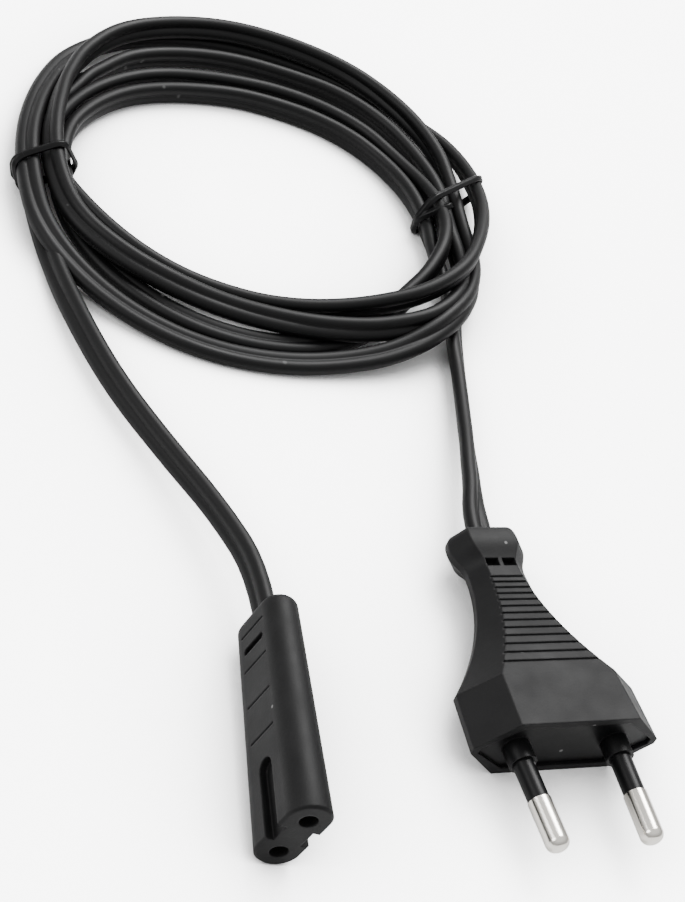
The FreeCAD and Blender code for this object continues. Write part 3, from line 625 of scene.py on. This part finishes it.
# Each plastic: dark, pale and edge colour, roughness, fineness and depth of grain, radius of the rubbed edge.
PLASTICS = {
    "moulding_pvc": [
        (0.003, 0.003, 0.0032), (0.0055, 0.0055, 0.0057), (0.016, 0.016, 0.0165), 0.56, 2600.0, 0.00006, 0.0004
    ],
    "bridge_plastic": [
        (0.002, 0.002, 0.0022), (0.0035, 0.0035, 0.0037), (0.01, 0.01, 0.01), 0.4, 1800.0, 0.00002, 0.0002
    ],
    "sleeve_plastic": [
        (0.002, 0.002, 0.0022), (0.0035, 0.0035, 0.0037), (0.01, 0.01, 0.01), 0.36, 1400.0, 0.00001, 0.0001
    ],
    "carrier_plastic": [
        (0.008, 0.008, 0.0085), (0.012, 0.012, 0.0125), (0.03, 0.03, 0.03), 0.5, 1600.0, 0.00002, 0.0002
    ],
    "tie_plastic": [
        (0.0015, 0.0015, 0.0016), (0.003, 0.003, 0.0032), (0.012, 0.012, 0.012), 0.34, 1500.0, 0.00003, 0.0001
    ],
    "core_brown": [(0.05, 0.018, 0.008), (0.08, 0.03, 0.014), (0.1, 0.05, 0.03), 0.45, 1500.0, 0.00002, 0.0001],
    "core_blue": [(0.01, 0.03, 0.16), (0.016, 0.05, 0.24), (0.05, 0.09, 0.3), 0.45, 1500.0, 0.00002, 0.0001],
}
moulding, bridge, sleeve, carrier, tie, brown, blue = [plastic(name, *row) for name, row in PLASTICS.items()]
cord_sheath = sheath("cord_pvc")
nickel = metal("pin_nickel", (0.62, 0.59, 0.54), (0.74, 0.71, 0.66), 0.16, 1400.0, 0.00001)
brass = metal("contact_brass", (0.5, 0.34, 0.12), (0.66, 0.47, 0.18), 0.28, 900.0, 0.00001)
copper = metal("conductor_copper", (0.5, 0.2, 0.1), (0.66, 0.3, 0.16), 0.3, 700.0, 0.00002)

FINISHES = {
    moulding: ["connector_body", "plug_body"],
    bridge: ["pin_bridge"],
    sleeve: ["pin_sleeve_left", "pin_sleeve_right"],
    carrier: ["contact_carrier"],
    nickel: ["pin_left", "pin_right"],
    brass: ["contact_lower", "contact_upper"],
    copper: [
        "connector_conductor_lower",
        "connector_conductor_upper",
        "plug_conductor_left",
        "plug_conductor_right",
    ],
    brown: ["connector_core_lower", "plug_core_left"],
    blue: ["connector_core_upper", "plug_core_right"],
}
for material, names in FINISHES.items():
    for name in names:
        for material_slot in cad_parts[name].material_slots:
            material_slot.material = material
PIECE_FINISHES = [(cord, cord_sheath), (tie_left_piece, tie), (tie_right_piece, tie)]
for piece, material in PIECE_FINISHES:
    piece.data.materials.append(material)
print("materials on nodes", len(FINISHES), "pieces with their own", len(PIECE_FINISHES))

# %% [markdown]
# ## Floor and light
#
# The photo has a pale table that turns white in the light, with soft pale shadows. A large lamp hangs high behind
# the coil and gives the bright lines along the cord. A second one on the left is weaker and lights the connector's
# side. The sky fills the shadows and is darker towards the horizon, so what stands upright is darker than what looks
# up. The table also glows for the camera alone, so it is a little brighter to the eye than it is to the cord, because
# the photo is exposed for the black plastic. This glow fades near the cord and is gone in the narrow gaps between
# the turns, so the gaps hold painted shade and the table round the coil holds a painted soft shadow.

# %% Floor and light
FLOOR_HALF = 3.0
FLOOR_SQUARES = 8
FLOOR_SPECULAR = 0.1
FLOOR_GLOW = 5.4
# How far from the cord the floor's glow fades, which paints shadow round the coil and shade in the gaps.
PAINTED_SHADOW_REACH = 0.03
BLACK = (0.0, 0.0, 0.0, 1.0)
WHITE = (1.0, 1.0, 1.0, 1.0)
HORIZON = (0.3, 0.3, 0.3, 1.0)
SKY_STRENGTH = 1.25
floor_mesh = bpy.data.meshes.new("floor")
floor_bm = bmesh.new()
bmesh.ops.create_grid(floor_bm, x_segments=FLOOR_SQUARES, y_segments=FLOOR_SQUARES, size=FLOOR_HALF)
floor_bm.to_mesh(floor_mesh)
floor_bm.free()
floor = bpy.data.objects.new("floor", floor_mesh)
bpy.context.collection.objects.link(floor)
paper, nodes, shader, place = new_material("table")
tone = nodes.noise(place, 3.0, 2.0)
nodes.link(nodes.mix(tone, (0.86, 0.86, 0.86, 1.0), (0.88, 0.88, 0.88, 1.0)), shader["Base Color"])
nodes.link(nodes.spread(tone, 0.3, 0.7, 0.75, 0.85), shader["Roughness"])
shader["Specular IOR Level"].default_value = FLOOR_SPECULAR
# The glow for the camera fades near the cord and in the gaps between the turns: painted shadow and painted shade.
seen = nodes.add("ShaderNodeLightPath").outputs["Is Camera Ray"]
painted_shadow_ao = nodes.add("ShaderNodeAmbientOcclusion", samples=6)
painted_shadow_ao.inputs["Distance"].default_value = PAINTED_SHADOW_REACH
glow_with_painted_shadow = nodes.math("MULTIPLY", seen, nodes.spread(painted_shadow_ao.outputs["AO"], 0.5, 0.97))
nodes.link(nodes.mix(glow_with_painted_shadow, BLACK, WHITE), shader["Emission Color"])
shader["Emission Strength"].default_value = FLOOR_GLOW
floor.data.materials.append(paper)


def lamp(name, at, aim, size, power):
    """A round soft lamp at a place, turned towards another."""
    data = bpy.data.lights.new(name, "AREA")
    data.shape = "DISK"
    data.size = size
    data.energy = power
    light = bpy.data.objects.new(name, data)
    bpy.context.collection.objects.link(light)
    light.location = at
    light.rotation_euler = (Vector(aim) - Vector(at)).to_track_quat("-Z", "Y").to_euler()


AIM = (0.01, 0.08, 0.0)
lamp("lamp_behind", at=(0.35, 0.75, 0.85), aim=AIM, size=0.7, power=26.0)
lamp("lamp_left", at=(-0.8, 0.0, 0.7), aim=AIM, size=0.6, power=7.0)
world = bpy.data.worlds.new("sky")
world.use_nodes = True
sky = Nodes(world.node_tree)
direction = sky.add("ShaderNodeSeparateXYZ")
sky.link(sky.add("ShaderNodeTexCoord").outputs["Generated"], direction.inputs["Vector"])
above = sky.spread(direction.outputs["Z"], 0.0, 0.8)
background = world.node_tree.nodes["Background"].inputs
sky.link(sky.mix(above, HORIZON, WHITE), background["Color"])
background["Strength"].default_value = SKY_STRENGTH
bpy.context.scene.world = world
print("lamps", len(bpy.data.lights))
